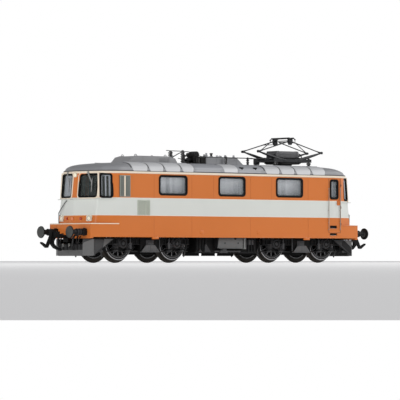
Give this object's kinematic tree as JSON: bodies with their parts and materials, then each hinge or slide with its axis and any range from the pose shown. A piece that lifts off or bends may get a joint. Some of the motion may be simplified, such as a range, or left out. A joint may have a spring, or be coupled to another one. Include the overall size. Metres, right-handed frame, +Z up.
{
  "type": "scale model electric locomotive",
  "caption": "Scale model electric locomotive on swivelling spoked-wheel bogies, with a folding diamond pantograph, loop couplers, buffers and glazed cabs.",
  "frame": {"origin": "centre of the model at the lowest point of the wheel flanges", "axes": "+X along the length, +Z up, -Y towards the side whose cab door is at the +X end"},
  "size_m": [0.1901, 0.0344, 0.0566],
  "materials": {
    "livery": "satin two-colour paint",
    "black_rubber": "matt rubber",
    "window_glass": "clear glazing",
    "roof_grey": "satin grey paint",
    "dark_metal": "matt dark grey paint on die-cast metal",
    "cab_grey": "moulded plastic",
    "black_plastic": "matt moulded plastic",
    "dark_plastic": "matt moulded plastic",
    "grey_plastic": "matt moulded plastic",
    "lamp_lens": "clear moulded lens",
    "red_lens": "clear moulded lens",
    "insulator": "glossy moulded plastic",
    "black_metal": "blackened metal",
    "tyre_steel": "turned tread",
    "wheel_black": "blackened wheel centre"
  },
  "bodies": {
    "root": {"body_shell": "livery", "window_frames": "black_rubber", "side_window_panes": "window_glass", "cab_windows_left": "window_glass", "cab_windows_right": "window_glass", "roof_shell": "roof_grey", "chassis_frame": "dark_metal", "motor_block": "dark_metal", "cab_interior_left": "cab_grey", "cab_interior_right": "cab_grey", "underfloor_trough": "black_plastic", "underfloor_boxes": "grey_plastic", "buffers_left": "black_plastic", "buffers_right": "black_plastic", "headlamps_left": "lamp_lens", "tail_lamps_left": "red_lens", "headlamps_right": "lamp_lens", "tail_lamps_right": "red_lens", "roof_hump": "roof_grey", "roof_box": "roof_grey", "roof_insulators": "insulator", "main_switch": "black_plastic", "roof_busbar": "black_metal", "pantograph_base": "black_metal", "pantograph_insulators": "insulator", "pantograph_drive": "dark_metal"},
    "lower_arm_a": {"pantograph_lower_arm_a": "black_metal"},
    "upper_arm_a": {"pantograph_upper_arm_a": "black_metal"},
    "lower_arm_b": {"pantograph_lower_arm_b": "black_metal"},
    "upper_arm_b": {"pantograph_upper_arm_b": "black_metal"},
    "pantograph_head": {"pantograph_head": "black_metal"},
    "bogie_left": {"bogie_frame_left": "black_plastic", "bogie_sides_left": "black_plastic", "snow_plough_left": "dark_plastic"},
    "coupler_left": {"coupler_left": "black_plastic"},
    "bogie_right": {"bogie_frame_right": "black_plastic", "bogie_sides_right": "black_plastic", "snow_plough_right": "dark_plastic"},
    "coupler_right": {"coupler_right": "black_plastic"},
    "wheelset_1": {"wheelset_1_tyres": "tyre_steel", "wheelset_1_centres": "wheel_black"},
    "wheelset_2": {"wheelset_2_tyres": "tyre_steel", "wheelset_2_centres": "wheel_black"},
    "wheelset_3": {"wheelset_3_tyres": "tyre_steel", "wheelset_3_centres": "wheel_black"},
    "wheelset_4": {"wheelset_4_tyres": "tyre_steel", "wheelset_4_centres": "wheel_black"}
  },
  "joints": [
    {"name": "bogie_swivel_left", "type": "hinge", "parent": "root", "child": "bogie_left", "pos_m": [-0.04383, 0, 0.0176], "axis": [0, 0, 1], "range_deg": [-8, 8]},
    {"name": "bogie_swivel_right", "type": "hinge", "parent": "root", "child": "bogie_right", "pos_m": [0.04383, 0, 0.0176], "axis": [0, 0, 1], "range_deg": [-8, 8]},
    {"name": "axle_spin_1", "type": "hinge", "parent": "bogie_left", "child": "wheelset_1", "pos_m": [-0.0588, 0, 0.00844], "axis": [0, 1, 0], "continuous": true},
    {"name": "axle_spin_2", "type": "hinge", "parent": "bogie_left", "child": "wheelset_2", "pos_m": [-0.02887, 0, 0.00844], "axis": [0, 1, 0], "continuous": true},
    {"name": "axle_spin_3", "type": "hinge", "parent": "bogie_right", "child": "wheelset_3", "pos_m": [0.02887, 0, 0.00844], "axis": [0, 1, 0], "continuous": true},
    {"name": "axle_spin_4", "type": "hinge", "parent": "bogie_right", "child": "wheelset_4", "pos_m": [0.0588, 0, 0.00844], "axis": [0, 1, 0], "continuous": true},
    {"name": "coupler_swing_left", "type": "hinge", "parent": "root", "child": "coupler_left", "pos_m": [-0.072, 0, 0.00955], "axis": [0, 0, 1], "range_deg": [-21.5, 8.5]},
    {"name": "coupler_swing_right", "type": "hinge", "parent": "root", "child": "coupler_right", "pos_m": [0.072, 0, 0.00955], "axis": [0, 0, 1], "range_deg": [-15, 15]},
    {"name": "pantograph_raise", "type": "hinge", "parent": "root", "child": "lower_arm_a", "pos_m": [0.0397, 0, 0.0462], "axis": [0, 1, 0], "range_deg": [-4, 45]},
    {"name": "pantograph_shaft_b", "type": "hinge", "parent": "root", "child": "lower_arm_b", "pos_m": [0.0487, 0, 0.0462], "axis": [0, 1, 0], "range_deg": [-45, 4]},
    {"name": "pantograph_elbow_a", "type": "hinge", "parent": "lower_arm_a", "child": "upper_arm_a", "pos_m": [0.02498, 0, 0.05001], "axis": [0, 1, 0], "range_deg": [-83.92, 7.46]},
    {"name": "pantograph_elbow_b", "type": "hinge", "parent": "lower_arm_b", "child": "upper_arm_b", "pos_m": [0.06342, 0, 0.05001], "axis": [0, 1, 0], "range_deg": [-7.46, 83.92]},
    {"name": "pantograph_head_level", "type": "hinge", "parent": "upper_arm_a", "child": "pantograph_head", "pos_m": [0.0442, 0, 0.05515], "axis": [0, 1, 0], "range_deg": [-3.46, 38.92]}
  ],
  "couplings": [
    {"joint": "pantograph_shaft_b", "follows": "pantograph_raise", "ratio": -1},
    {"joint": "pantograph_elbow_a", "follows": "pantograph_raise", "ratio": -1.865},
    {"joint": "pantograph_elbow_b", "follows": "pantograph_raise", "ratio": 1.865},
    {"joint": "pantograph_head_level", "follows": "pantograph_raise", "ratio": 0.865}
  ]
}
